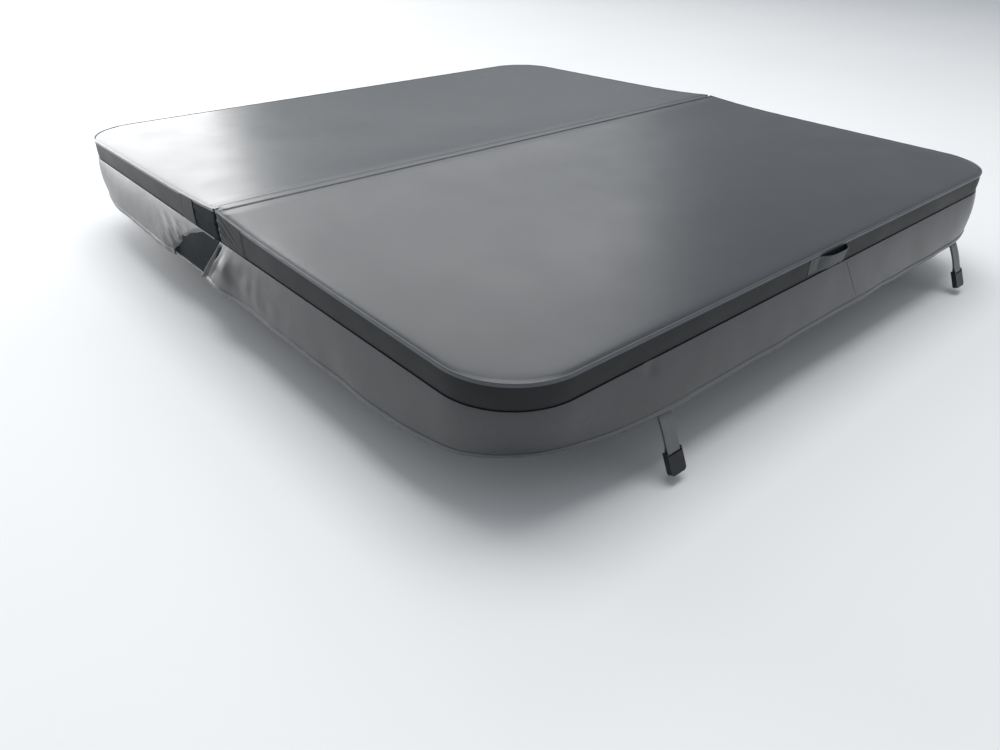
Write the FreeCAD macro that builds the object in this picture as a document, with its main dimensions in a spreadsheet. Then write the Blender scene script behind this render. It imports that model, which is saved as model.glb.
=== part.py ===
import FreeCAD, Part
import math
import os

import Sketcher

# Bi-fold spa cover: two tapered foam halves in vinyl, joined by a sewn hinge, with a skirt,
# handles and tie-down straps.  Millimetres.  +Z is up, the fold line runs along Y, +X is the
# front half (the one that lifts).  The origin is on the underside, at the middle of the fold.
#
# The rear half mirrors the front one, so each maker takes side: +1 is front and -1 is rear.
# "Spread" is a distance outside the nominal plan outline, square to it; "station" is a
# distance from the fold line.

SIZES = {
    "half_length": 1065,        # fold line to the outer edge of a half
    "half_width": 1000,         # centre line to either end of the fold
    "corner_radius": 165,
    "edge_height": 54,          # thickness at the outer edge
    "knee_height": 66,          # thickness where the ridge by the fold begins
    "knee_station": 160,
    "fold_height": 80,          # thickness at the fold
    "vinyl": 1.5,
    "film": 0.8,
    "gap": 0.3,                 # space left between neighbouring pieces
    "half_gap": 6,              # centre of the fold to either fold wall
    "wrap_station": 45,         # how far the fold wall wraps under a half
    "zipper_width": 30,
    "coil_width": 5,
    "coil_depth": 1.5,
    "zipper_inset": 20,
    "slider_place": 975,
    "slider_length": 12,
    "slider_width": 11,
    "slider_plate": 2.2,
    "pull_length": 24,
    "pull_width": 6,
    "pull_thickness": 1.2,
    "hinge_vinyl": 1.2,
    "hinge_width": 18,          # one half of the sewn hinge strip
    "piping_in": 1.8,           # the welt's spread inside and outside the outline
    "piping_out": 2,
    "piping_rise": 1,
    "piping_sink": 4,
    "channel_steel": 1.5,
    "channel_flange": 40,
    "channel_inset": 40,
    "patch_station": 148,       # the wrapped patches at the fold end here
    "skirt_drop": 126,
    "skirt_in": 21,             # spread of the skirt's inner and outer faces
    "skirt_out": 24,
    "skirt_ledge": 3,
    "ledge_in": 8,
    "front_ledge_start": 6,
    "rear_ledge_start": 20,
    "hem_height": 14,
    "hem_extra": 1,
    "front_skirt_start": -12,   # the front wall reaches past the fold
    "rear_skirt_start": 290,
    "tongue_in": 13,
    "tongue_out": 15,
    "tongue_end": 330,          # on the rear half
    "tongue_reach": 60,         # past the fold, behind the front half's skirt
    "tongue_top": 6,
    "tongue_drop": 124,
    "gasket_inset": 15,
    "gasket_height": 76,
    "handle_length": 160,
    "handle_bow": 110,          # length of the bowed middle
    "handle_bulge": 16,
    "handle_height": 38,
    "handle_bottom": 8,
    "handle_vinyl": 3,
    "eyelet_x": 900,
    "eyelet_y": 860,
    "eyelet_bore": 4,
    "eyelet_barrel": 6,
    "eyelet_rim": 9,
    "eyelet_rim_height": 1,
    "strap_spread": 18.7,
    "strap_width": 38,
    "strap_left": -590,
    "strap_right": 760,
    "strap_pivot": 130.5,
    "strap_length": 82,         # pivot to the buckle's bar
    "strap_tilt": 24,           # degrees outward: stiff webbing stands off the skirt
    "webbing": 1.6,
    "loop_radius": 2.3,         # inside the strap's loop
    "anchor_height": 30,
    "anchor_thickness": 2,
    "bar_radius": 2,
    "buckle_width": 46,
    "buckle_depth": 13,
    "buckle_bottom": 48,        # below the bar
    "buckle_shoulder": 4.9,     # below the bar
    "buckle_top": 4,            # above the bar
    "buckle_corner": 8,
    "window_width": 39.4,
    "socket_width": 30,
    "socket_height": 32,
    "socket_depth": 8.4,
}

doc = FreeCAD.newDocument("spa_cover")
sheet = doc.addObject("Spreadsheet::Sheet", "Sizes")
for row, (alias, value) in enumerate(SIZES.items(), start=1):
    sheet.set(f"A{row}", alias)
    sheet.set(f"B{row}", str(value))
    sheet.setAlias(f"B{row}", alias)
doc.recompute()


class Size:
    """A length that carries its value and the spreadsheet expression that drives it."""

    def __init__(self, value, text):
        self.value = value
        self.text = text

    def _with(self, other, sign, value):
        return Size(value, f"({self.text} {sign} {as_size(other).text})")

    def __add__(self, other):
        return self._with(other, "+", self.value + as_size(other).value)

    def __sub__(self, other):
        return self._with(other, "-", self.value - as_size(other).value)

    def __mul__(self, other):
        return self._with(other, "*", self.value * as_size(other).value)

    def __truediv__(self, other):
        return self._with(other, "/", self.value / as_size(other).value)

    def __neg__(self):
        return self * -1


def as_size(number):
    """A plain number as a Size; a Size is returned as it is."""
    if isinstance(number, Size):
        return number
    return Size(number, f"({number})")


def dim(alias):
    """A cell of the spreadsheet as a Size."""
    return Size(float(sheet.get(alias)), f"Sizes.{alias}")


def sine(angle):
    """Sine of an angle in degrees."""
    return Size(math.sin(math.radians(angle.value)), f"sin({angle.text} * 1 deg)")


def cosine(angle):
    """Cosine of an angle in degrees."""
    return Size(math.cos(math.radians(angle.value)), f"cos({angle.text} * 1 deg)")


def bind(feature, **properties):
    """Sets properties of a feature and binds each one to its expression."""
    for name, size in properties.items():
        setattr(feature, name, size.value)
        feature.setExpression(name, size.text)


def move(feature, x=0, y=0, z=0):
    """Binds where a feature stands."""
    places = [as_size(x), as_size(y), as_size(z)]
    feature.Placement.Base = FreeCAD.Vector(*[place.value for place in places])
    for letter, place in zip("xyz", places):
        feature.setExpression(f"Placement.Base.{letter}", place.text)


def tilt_outward(feature, side, angle):
    """Binds a turn about Y that swings the feature's lower end away from the cover."""
    feature.Placement.Rotation = FreeCAD.Rotation(FreeCAD.Vector(0, -side, 0), angle.value)
    feature.setExpression("Placement.Rotation.Angle", angle.text)


# ---------------------------------------------------------------- sketches and features

HALVES = {"front": 1, "rear": -1}
TURN_ALONG_Y = FreeCAD.Rotation(FreeCAD.Vector(1, 0, 0), -90)
sub_parts = []


def keep(feature, label):
    """Marks a feature as a finished sub-part."""
    feature.Label = label
    sub_parts.append(feature)
    return feature


def new_sketch(body, name, role):
    """A sketch on one of the body's own origin planes."""
    sketch = body.newObject("Sketcher::SketchObject", name)
    plane = next(face for face in body.Origin.OriginFeatures if face.Role == role)
    sketch.AttachmentSupport = (plane, "")
    sketch.MapMode = "FlatFace"
    return sketch


def dimension(sketch, kind, geometry, end, size):
    """One driving dimension from the sketch's origin to a point, bound to its expression."""
    index = sketch.addConstraint(Sketcher.Constraint(kind, -1, 1, geometry, end, size.value))
    sketch.setExpression(f"Constraints[{index}]", size.text)


def add_outline(sketch, corners):
    """A closed polygon whose every corner is dimensioned from the origin."""
    corners = [(as_size(u), as_size(v)) for u, v in corners]
    points = [FreeCAD.Vector(u.value, v.value, 0) for u, v in corners]
    for start, end in zip(points, points[1:] + points[:1]):
        sketch.addGeometry(Part.LineSegment(start, end))
    count = len(points)
    for side in range(count):
        sketch.addConstraint(Sketcher.Constraint("Coincident", side, 2, (side + 1) % count, 1))
    for side, (u, v) in enumerate(corners):
        dimension(sketch, "DistanceX", side, 1, u)
        dimension(sketch, "DistanceY", side, 1, v)


def sketched(body, feature_type, role, corners, length):
    """A pad or pocket of a polygon, symmetric about the sketch's plane."""
    kind = feature_type.split("::")[1]
    number = len(body.Group)
    sketch = new_sketch(body, f"{body.Name}_sketch_{number}", role)
    add_outline(sketch, corners)
    feature = body.newObject(feature_type, f"{body.Name}_{kind}_{number}")
    feature.Profile = sketch
    feature.SideType = "Symmetric"
    bind(feature, Length=length)
    return feature


def fillet_where(body, base, chosen, radius):
    """Rounds the edges of base that chosen picks."""
    doc.recompute()
    names = [f"Edge{n}" for n, edge in enumerate(base.Shape.Edges, start=1) if chosen(edge)]
    fillet = body.newObject("PartDesign::Fillet", f"{body.Name}_fillet_{len(body.Group)}")
    fillet.Base = (base, names)
    bind(fillet, Radius=radius)
    return fillet


def cut(base, tool, name):
    """Part::Cut of tool from base."""
    feature = doc.addObject("Part::Cut", name)
    feature.Base = base
    feature.Tool = tool
    return feature


def fuse(pieces, name):
    """Part::MultiFuse of the pieces."""
    feature = doc.addObject("Part::MultiFuse", name)
    feature.Shapes = pieces
    feature.Refine = True
    return feature


def box(name, low, high):
    """A Part::Box between two corners."""
    feature = doc.addObject("Part::Box", name)
    spans = [as_size(b) - as_size(a) for a, b in zip(low, high)]
    bind(feature, Length=spans[0], Width=spans[1], Height=spans[2])
    move(feature, *low)
    return feature


def cylinder_along_y(name, x, z, radius, half_length):
    """A Part::Cylinder along Y, centred on Y = 0."""
    feature = doc.addObject("Part::Cylinder", name)
    bind(feature, Radius=radius, Height=half_length * 2)
    feature.Placement = FreeCAD.Placement(FreeCAD.Vector(), TURN_ALONG_Y)
    move(feature, x, -half_length, z)
    return feature


def cylinder_along_z(name, x, y, low, high, radius):
    """A Part::Cylinder along Z between two heights."""
    feature = doc.addObject("Part::Cylinder", name)
    bind(feature, Radius=radius, Height=as_size(high) - low)
    move(feature, x, y, low)
    return feature


# ---------------------------------------------------------------- surfaces of a half


def roof_height(station):
    """Height of the top face over the underside: a ridge by the fold, then a shallow fall."""
    station = as_size(station)
    knee = dim("knee_station")
    if station.value <= knee.value:
        fall = (dim("fold_height") - dim("knee_height")) / knee
        return dim("fold_height") - fall * station
    fall = (dim("knee_height") - dim("edge_height")) / (dim("half_length") - knee)
    return dim("knee_height") - fall * (station - knee)


def level(height):
    """A flat surface, as the corners of its line between two stations."""
    return lambda start, end: [(start, as_size(height)), (end, as_size(height))]


def roof(lift):
    """The top face moved up by lift, as the corners of its line between two stations."""

    def line(start, end):
        stations = [start]
        if as_size(start).value < dim("knee_station").value < as_size(end).value:
            stations.append(dim("knee_station"))
        stations.append(end)
        return [(station, roof_height(station) + lift) for station in stations]

    return line


def prism(name, side, corners, half_width):
    """A body with that outline in X and Z, padded along Y."""
    body = doc.addObject("PartDesign::Body", name)
    outline = [(as_size(station) * side, height) for station, height in corners]
    sketched(body, "PartDesign::Pad", "XZ_Plane", outline, half_width * 2)
    return body


def plan_block(name, side, spread):
    """A tall block with the plan outline of a half, its two outer corners rounded."""
    body = doc.addObject("PartDesign::Body", name)
    end = (dim("half_length") + spread) * side
    start = -dim("half_length") / 2 * side
    wide = dim("half_width") + spread
    outline = [(start, -wide), (end, -wide), (end, wide), (start, wide)]
    pad = sketched(body, "PartDesign::Pad", "XY_Plane", outline, dim("half_width"))

    def at_outer_corner(edge):
        ends = [vertex.Point for vertex in edge.Vertexes]
        upright = abs(ends[0].z - ends[1].z) > 1
        return upright and abs(ends[0].x - end.value) < 1e-4

    fillet_where(body, pad, at_outer_corner, dim("corner_radius") + spread)
    return body


def rounded(name, side, spread, corners):
    """A prism whose outer plan corners are rounded."""
    spread = as_size(spread)
    bar = prism(name + "_bar", side, corners, dim("half_width") + spread)
    block = plan_block(name + "_plan", side, spread)
    feature = doc.addObject("Part::Common", name)
    feature.Base = bar
    feature.Tool = block
    return feature


def slab(name, side, spread, start, low, high):
    """A slab with the plan outline of a half, between two surfaces."""
    end = dim("half_length") + spread
    return rounded(name, side, spread, low(start, end) + high(start, end)[::-1])


def rim(name, side, spread_in, spread_out, start, low, high):
    """A wall round the three outer sides of a half."""
    solid = slab(name + "_solid", side, spread_out, start, low, high)
    hollow = plan_block(name + "_hollow", side, as_size(spread_in))
    return cut(solid, hollow, name)


def end_plates(name, side, corners, spread_in, spread_out):
    """Two upright plates, one at each end of the fold, with that outline in X and Z."""
    low = min(as_size(height).value for station, height in corners)
    solid = prism(name + "_solid", side, corners, dim("half_width") + spread_out)
    reach = dim("half_length")
    inner = [(-reach, low - 10), (reach, low - 10), (reach, 200), (-reach, 200)]
    hollow = prism(name + "_hollow", side, inner, dim("half_width") + spread_in)
    return cut(solid, hollow, name)


# ---------------------------------------------------------------- pieces of a half


def make_foam_core(half, side):
    """Tapered foam, notched along the fold for the stiffener channel."""
    skin = dim("vinyl") + dim("film") + dim("gap") * 2
    face = skin
    notch = dim("channel_steel") + dim("gap")
    start = dim("half_gap") + skin + notch + dim("gap") * 2
    notch_end = dim("channel_flange") + dim("gap")
    end = dim("half_length") - skin - dim("gap")
    corners = [
        (start, face + notch),
        (notch_end, face + notch),
        (notch_end, face),
        (end, face),
        (end, roof_height(end) - face),
        (dim("knee_station"), dim("knee_height") - face),
        (notch_end, roof_height(notch_end) - face),
        (notch_end, roof_height(notch_end) - face - notch),
        (start, roof_height(start) - face - notch),
    ]
    spread = -(skin + dim("gap"))
    keep(rounded(f"{half}_foam_body", side, spread, corners), f"{half}_foam_core")


def make_vapour_barrier(half, side):
    """Sealed film bag round the core and its channel."""
    outside = dim("vinyl") + dim("gap")
    inside = outside + dim("film")
    outer = slab(
        f"{half}_barrier_outside",
        side,
        -(outside + dim("gap")),
        dim("half_gap") + outside,
        level(outside),
        roof(-outside),
    )
    inner = slab(
        f"{half}_barrier_inside",
        side,
        -(inside + dim("gap")),
        dim("half_gap") + inside,
        level(inside),
        roof(-inside),
    )
    keep(cut(outer, inner, f"{half}_barrier_cut"), f"{half}_vapour_barrier")


def make_stiffener_channel(half, side):
    """Folded steel channel that clasps the core's fold edge."""
    steel = dim("channel_steel")
    face = dim("vinyl") + dim("film") + dim("gap") * 2
    web = dim("half_gap") + face
    inner = web + steel
    end = dim("channel_flange")
    corners = [
        (web, face),
        (end, face),
        (end, face + steel),
        (inner, face + steel),
        (inner, roof_height(inner) - face - steel),
        (end, roof_height(end) - face - steel),
        (end, roof_height(end) - face),
        (web, roof_height(web) - face),
    ]
    half_width = dim("half_width") - dim("channel_inset")
    keep(prism(f"{half}_channel_body", side, corners, half_width), f"{half}_stiffener_channel")


def make_top_panel(half, side):
    """Vinyl sheet on top, inside the piping."""
    spread = -(dim("piping_in") + dim("gap"))
    body = slab(
        f"{half}_top_body", side, spread, dim("half_gap"), roof(-dim("vinyl")), roof(0)
    )
    keep(body, f"{half}_top_panel")


def make_side_band(half, side):
    """Upright vinyl band round the three outer sides."""
    top = roof(-(dim("piping_sink") + dim("gap")))
    band = rim(
        f"{half}_band_cut", side, -dim("vinyl"), 0, dim("half_gap"), level(dim("gap")), top
    )
    keep(band, f"{half}_side_band")


def make_bottom_panel(half, side):
    """Underside vinyl with four drain holes."""
    start = dim("wrap_station") + dim("zipper_width")
    spread = -(dim("vinyl") + dim("gap"))
    panel = slab(f"{half}_bottom_body", side, spread, start, level(0), level(dim("vinyl")))
    holes = [
        cylinder_along_z(f"{half}_drain_{n}", x, y, -5, 5, dim("eyelet_barrel") + dim("gap"))
        for n, (x, y) in enumerate(eyelet_places(side))
    ]
    drains = fuse(holes, f"{half}_drains")
    keep(cut(panel, drains, f"{half}_bottom_cut"), f"{half}_bottom_panel")


def eyelet_places(side):
    """Where the drain eyelets of a half stand: near its corners."""
    near = (dim("half_length") - dim("eyelet_x")) * side
    far = dim("eyelet_x") * side
    return [(x, dim("eyelet_y") * end) for x in (near, far) for end in (-1, 1)]


def make_drain_eyelets(half, side):
    """Brass eyelets: a barrel through the panel and a rim under it."""
    rings = []
    for n, (x, y) in enumerate(eyelet_places(side)):
        name = f"{half}_eyelet_{n}"
        rim_disc = cylinder_along_z(
            name + "_rim", x, y, -dim("eyelet_rim_height"), 0, dim("eyelet_rim")
        )
        barrel = cylinder_along_z(
            name + "_barrel", x, y, 0, dim("vinyl"), dim("eyelet_barrel")
        )
        bore = cylinder_along_z(name + "_bore", x, y, -5, 5, dim("eyelet_bore"))
        rings.append(cut(fuse([rim_disc, barrel], name + "_solid"), bore, name))
    group = doc.addObject("Part::Compound", f"{half}_eyelet_group")
    group.Links = rings
    keep(group, f"{half}_drain_eyelets")


def make_fold_wall(half, side):
    """Vinyl face at the fold, wrapped under the half as far as the zipper."""
    vinyl = dim("vinyl")
    face = dim("half_gap")
    inner = face + vinyl
    below_top = vinyl + dim("gap")
    end = dim("wrap_station")
    corners = [
        (face, 0),
        (end, 0),
        (end, vinyl),
        (inner, vinyl),
        (inner, roof_height(inner) - below_top),
        (face, roof_height(face) - below_top),
    ]
    half_width = dim("half_width") - vinyl - dim("gap")
    keep(prism(f"{half}_fold_wall_body", side, corners, half_width), f"{half}_fold_wall")


def zipper_station():
    """Where the zipper's coil runs."""
    return dim("wrap_station") + dim("zipper_width") / 2


def make_zipper_tape(half, side):
    """Woven tape with the closed coil along its middle."""
    start = dim("wrap_station") + dim("gap")
    end = dim("wrap_station") + dim("zipper_width") - dim("gap")
    coil_in = zipper_station() - dim("coil_width") / 2
    coil_out = zipper_station() + dim("coil_width") / 2
    coil_low = -dim("coil_depth")
    corners = [
        (start, 0),
        (coil_in, 0),
        (coil_in, coil_low),
        (coil_out, coil_low),
        (coil_out, 0),
        (end, 0),
        (end, dim("vinyl")),
        (start, dim("vinyl")),
    ]
    half_width = dim("half_width") - dim("zipper_inset")
    keep(prism(f"{half}_zipper_body", side, corners, half_width), f"{half}_zipper_tape")


def slider_bottom():
    """Height of the slider's lower face."""
    return -(dim("coil_depth") + dim("gap") + dim("slider_plate"))


def make_zipper_slider(half, side):
    """Plate under the coil with a lip on each side of it."""
    wide = dim("slider_width") / 2
    slot = dim("coil_width") / 2 + dim("gap")
    low = slider_bottom()
    slot_top = -(dim("coil_depth") + dim("gap"))
    corners = [
        (-wide, low),
        (wide, low),
        (wide, -dim("gap")),
        (slot, -dim("gap")),
        (slot, slot_top),
        (-slot, slot_top),
        (-slot, -dim("gap")),
        (-wide, -dim("gap")),
    ]
    body = prism(f"{half}_slider_body", 1, corners, dim("slider_length") / 2)
    move(body, zipper_station() * side, dim("slider_place"), 0)
    keep(body, f"{half}_zipper_slider")


def make_zipper_pull(half, side):
    """Flat tab that hangs from the slider."""
    thick = dim("pull_thickness") / 2
    top = slider_bottom() - dim("gap")
    wide = dim("pull_width") / 2
    x = zipper_station() * side
    y = dim("slider_place")
    tab = box(
        f"{half}_pull_tab",
        (x - wide, y - thick, top - dim("pull_length")),
        (x + wide, y + thick, top - thick),
    )
    round_end = doc.addObject("Part::Cylinder", f"{half}_pull_round")
    bind(round_end, Radius=thick, Height=dim("pull_width"))
    along_x = FreeCAD.Rotation(FreeCAD.Vector(0, 1, 0), 90)
    round_end.Placement = FreeCAD.Placement(FreeCAD.Vector(), along_x)
    move(round_end, x - wide, y, top - thick)
    keep(fuse([tab, round_end], f"{half}_pull_fuse"), f"{half}_zipper_pull")


def make_hinge_strip(half, side):
    """This half's share of the vinyl strip sewn over the fold."""
    start = dim("gap") / 2
    end = dim("hinge_width")
    vinyl = dim("hinge_vinyl")
    corners = [
        (start, roof_height(start)),
        (end, roof_height(end)),
        (end, roof_height(end) + vinyl),
        (start, roof_height(start) + vinyl),
    ]
    half_width = dim("half_width") - dim("piping_in") - dim("gap")
    keep(prism(f"{half}_hinge_body", side, corners, half_width), f"{half}_hinge_strip")


def make_piping(half, side):
    """Rolled welt along the top edge."""
    welt = rim(
        f"{half}_piping_cut",
        side,
        -dim("piping_in"),
        dim("piping_out"),
        dim("half_gap"),
        roof(-dim("piping_sink")),
        roof(dim("piping_rise")),
    )
    keep(welt, f"{half}_piping")


def make_end_patches(half, side):
    """Vinyl patches wrapped over the band where it ends at the fold."""
    start = dim("half_gap")
    end = dim("patch_station")
    below_piping = dim("piping_sink") + dim("gap")
    corners = [
        (start, dim("vinyl")),
        (end, dim("vinyl")),
        (end, roof_height(end) - below_piping),
        (start, roof_height(start) - below_piping),
    ]
    plates = end_plates(f"{half}_patch_cut", side, corners, as_size(0), dim("vinyl"))
    keep(plates, f"{half}_end_patches")


def make_skirt(half, side):
    """Apron that hangs outside the rim: a sewn ledge under the band, then an upright wall."""
    start = dim(f"{half}_skirt_start")
    ledge_start = dim(f"{half}_ledge_start")
    wall_bottom = dim("hem_height") - dim("skirt_drop")
    wall = rim(
        f"{half}_skirt_wall",
        side,
        dim("skirt_in"),
        dim("skirt_out"),
        start,
        level(wall_bottom),
        level(0),
    )
    ledge = rim(
        f"{half}_skirt_ledge",
        side,
        -dim("ledge_in"),
        dim("skirt_out"),
        ledge_start,
        level(-dim("skirt_ledge")),
        level(0),
    )
    keep(fuse([wall, ledge], f"{half}_skirt_fuse"), f"{half}_skirt")


def make_skirt_hem(half, side):
    """Binding folded over the skirt's lower edge."""
    hem = rim(
        f"{half}_hem_cut",
        side,
        dim("skirt_in") - dim("hem_extra"),
        dim("skirt_out") + dim("hem_extra"),
        dim(f"{half}_skirt_start"),
        level(-dim("skirt_drop")),
        level(dim("hem_height") - dim("skirt_drop")),
    )
    keep(hem, f"{half}_skirt_hem")


def make_skirt_tongues():
    """Overlap flaps at both ends of the fold, inside the front half's skirt."""
    top = -dim("tongue_top")
    low = -dim("tongue_drop")
    reach = -dim("tongue_reach")
    end = dim("tongue_end")
    corners = [(reach, low), (end, low), (end, top), (reach, top)]
    plates = end_plates("tongue_cut", -1, corners, dim("tongue_in"), dim("tongue_out"))
    keep(plates, "rear_skirt_tongues")


def make_steam_stop():
    """Bolster that fills the fold and shuts in the steam."""
    thick = dim("half_gap") - dim("gap")
    run = dim("half_width") - dim("gasket_inset")
    body = prism(
        "steam_stop_body",
        1,
        [
            (-thick, 0),
            (thick, 0),
            (thick, dim("gasket_height")),
            (-thick, dim("gasket_height")),
        ],
        run,
    )
    keep(body, "steam_stop_gasket")


def make_handle(half, side):
    """Bowed vinyl grip: a ring segment with a flat sewn tab at each end."""
    vinyl = dim("handle_vinyl")
    bulge = dim("handle_bulge")
    half_bow = dim("handle_bow") / 2
    radius = (half_bow * half_bow + bulge * bulge) / (bulge * 2)
    centre = (dim("half_length") - (radius - bulge)) * side
    low = dim("handle_bottom")
    high = low + dim("handle_height")
    face = dim("half_length") * side
    beyond = (dim("half_length") + bulge * 2) * side
    first = face if side > 0 else beyond
    last = beyond if side > 0 else face
    name = f"{half}_handle"
    disc = cylinder_along_z(name + "_disc", centre, 0, low, high, radius)
    bore = cylinder_along_z(name + "_bore", centre, 0, low, high, radius - vinyl)
    ring = cut(disc, bore, name + "_ring")
    outside = box(name + "_outside", (first, -half_bow, low), (last, half_bow, high))
    bow = doc.addObject("Part::Common", name + "_bow")
    bow.Base = ring
    bow.Tool = outside
    tab_end = dim("handle_length") / 2
    overlap = vinyl * 2
    tab_face = (dim("half_length") + vinyl) * side
    tab_first = face if side > 0 else tab_face
    tab_last = tab_face if side > 0 else face
    tabs = []
    for end in (-1, 1):
        inner = (half_bow - overlap) * end
        outer = tab_end * end
        y_low = inner if end > 0 else outer
        y_high = outer if end > 0 else inner
        tab_name = f"{name}_tab_{'right' if end > 0 else 'left'}"
        tabs.append(box(tab_name, (tab_first, y_low, low), (tab_last, y_high, high)))
    keep(fuse([bow] + tabs, name + "_fuse"), name)


# ---------------------------------------------------------------- straps and buckles

STRAP_ENDS = ("left", "right")


def strap_x(side):
    """Where the straps of a half hang: under the hem."""
    return (dim("half_length") + dim("strap_spread")) * side


def loop_solid(name, radius):
    """Stadium-shaped solid from the strap's pivot down to the buckle's bar."""
    wide = dim("strap_width") / 2
    run = dim("strap_length")
    middle = box(name + "_middle", (-radius, -wide, -run), (radius, wide, 0))
    top = cylinder_along_y(name + "_top", 0, 0, radius, wide)
    bottom = cylinder_along_y(name + "_bottom", 0, -run, radius, wide)
    return fuse([middle, top, bottom], name)


def make_strap(half, side, end):
    """Webbing doubled through the buckle's bar."""
    name = f"{half}_strap_{end}"
    outside = loop_solid(name + "_outside", dim("loop_radius") + dim("webbing"))
    inside = loop_solid(name + "_inside", dim("loop_radius"))
    strap = cut(outside, inside, name + "_cut")
    tilt_outward(strap, side, dim("strap_tilt"))
    move(strap, strap_x(side), dim(f"strap_{end}"), -dim("strap_pivot"))
    keep(strap, name)


def make_strap_anchors(half, side):
    """The straps' sewn ends behind the hem."""
    anchors = []
    thick = dim("anchor_thickness") / 2
    wide = dim("strap_width") / 2
    x = strap_x(side)
    for end in STRAP_ENDS:
        y = dim(f"strap_{end}")
        low = -dim("skirt_drop")
        anchors.append(
            box(
                f"{half}_anchor_{end}",
                (x - thick, y - wide, low),
                (x + thick, y + wide, low + dim("anchor_height")),
            )
        )
    group = doc.addObject("Part::Compound", f"{half}_anchor_group")
    group.Links = anchors
    keep(group, f"{half}_strap_anchors")


def make_buckle(half, side, end):
    """Moulded buckle: a block with a socket in its lower end, hung from a bar."""
    name = f"{half}_buckle_{end}"
    body = doc.addObject("PartDesign::Body", name + "_body")
    wide = dim("buckle_width") / 2
    window = dim("window_width") / 2
    bottom = -dim("buckle_bottom")
    shoulder = -dim("buckle_shoulder")
    top = dim("buckle_top")
    outline = [
        (-wide, bottom),
        (wide, bottom),
        (wide, top),
        (window, top),
        (window, shoulder),
        (-window, shoulder),
        (-window, top),
        (-wide, top),
    ]
    block = sketched(body, "PartDesign::Pad", "YZ_Plane", outline, dim("buckle_depth"))

    def at_foot(edge):
        ends = [vertex.Point for vertex in edge.Vertexes]
        across = abs(ends[0].x - ends[1].x) > 1
        return across and abs(ends[0].z - bottom.value) < 1e-4

    fillet_where(body, block, at_foot, dim("buckle_corner"))
    mouth = dim("socket_width") / 2
    roof_of_socket = bottom + dim("socket_height")
    socket = [
        (-mouth, bottom - 1),
        (mouth, bottom - 1),
        (mouth, roof_of_socket),
        (-mouth, roof_of_socket),
    ]
    sketched(body, "PartDesign::Pocket", "YZ_Plane", socket, dim("socket_depth"))
    ring = new_sketch(body, f"{name}_bar_sketch", "XZ_Plane")
    centre = FreeCAD.Vector(0, 0, 0)
    bar_radius = dim("bar_radius")
    ring.addGeometry(Part.Circle(centre, FreeCAD.Vector(0, 0, 1), bar_radius.value))
    ring.addConstraint(Sketcher.Constraint("Coincident", 0, 3, -1, 1))
    index = ring.addConstraint(Sketcher.Constraint("Radius", 0, bar_radius.value))
    ring.setExpression(f"Constraints[{index}]", bar_radius.text)
    bar = body.newObject("PartDesign::Pad", f"{name}_bar")
    bar.Profile = ring
    bar.SideType = "Symmetric"
    bind(bar, Length=dim("window_width") + 2)
    tilt = dim("strap_tilt")
    reach = dim("strap_length") * sine(tilt) * side
    drop = dim("strap_pivot") + dim("strap_length") * cosine(tilt)
    tilt_outward(body, side, tilt)
    move(body, strap_x(side) + reach, dim(f"strap_{end}"), -drop)
    print(f"{name}: bar at x {(strap_x(side) + reach).value:.3f} z {-drop.value:.3f}")
    keep(body, name)


# ---------------------------------------------------------------- the whole cover

for half, side in HALVES.items():
    make_foam_core(half, side)
    make_vapour_barrier(half, side)
    make_stiffener_channel(half, side)
    make_top_panel(half, side)
    make_side_band(half, side)
    make_bottom_panel(half, side)
    make_drain_eyelets(half, side)
    make_fold_wall(half, side)
    make_zipper_tape(half, side)
    make_zipper_slider(half, side)
    make_zipper_pull(half, side)
    make_hinge_strip(half, side)
    make_piping(half, side)
    make_end_patches(half, side)
    make_skirt(half, side)
    make_skirt_hem(half, side)
    make_handle(half, side)
    make_strap_anchors(half, side)
    for end in STRAP_ENDS:
        make_strap(half, side, end)
        make_buckle(half, side, end)
make_skirt_tongues()
make_steam_stop()
doc.recompute()

for feature in doc.Objects:
    if "Invalid" in feature.State or "Error" in feature.State:
        raise RuntimeError(f"{feature.Name} failed: {feature.State}")
for part in sub_parts:
    if part.Shape.isNull() or not part.Shape.isValid() or not part.Shape.Solids:
        raise RuntimeError(f"{part.Label} has no valid solid")

os.makedirs("parts", exist_ok=True)
for part in sub_parts:
    part.Shape.exportStep(f"parts/{part.Label}.step")
    span = part.Shape.BoundBox
    print(
        f"{part.Label:24s} {len(part.Shape.Solids)} solid(s)"
        f" x {span.XMin:8.1f} {span.XMax:8.1f}"
        f" y {span.YMin:8.1f} {span.YMax:8.1f}"
        f" z {span.ZMin:7.1f} {span.ZMax:6.1f}"
        f" volume {part.Shape.Volume / 1000:10.1f} cm3"
    )
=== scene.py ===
import math

import bpy
import numpy as np
from mathutils import Matrix, Vector, noise


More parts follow.
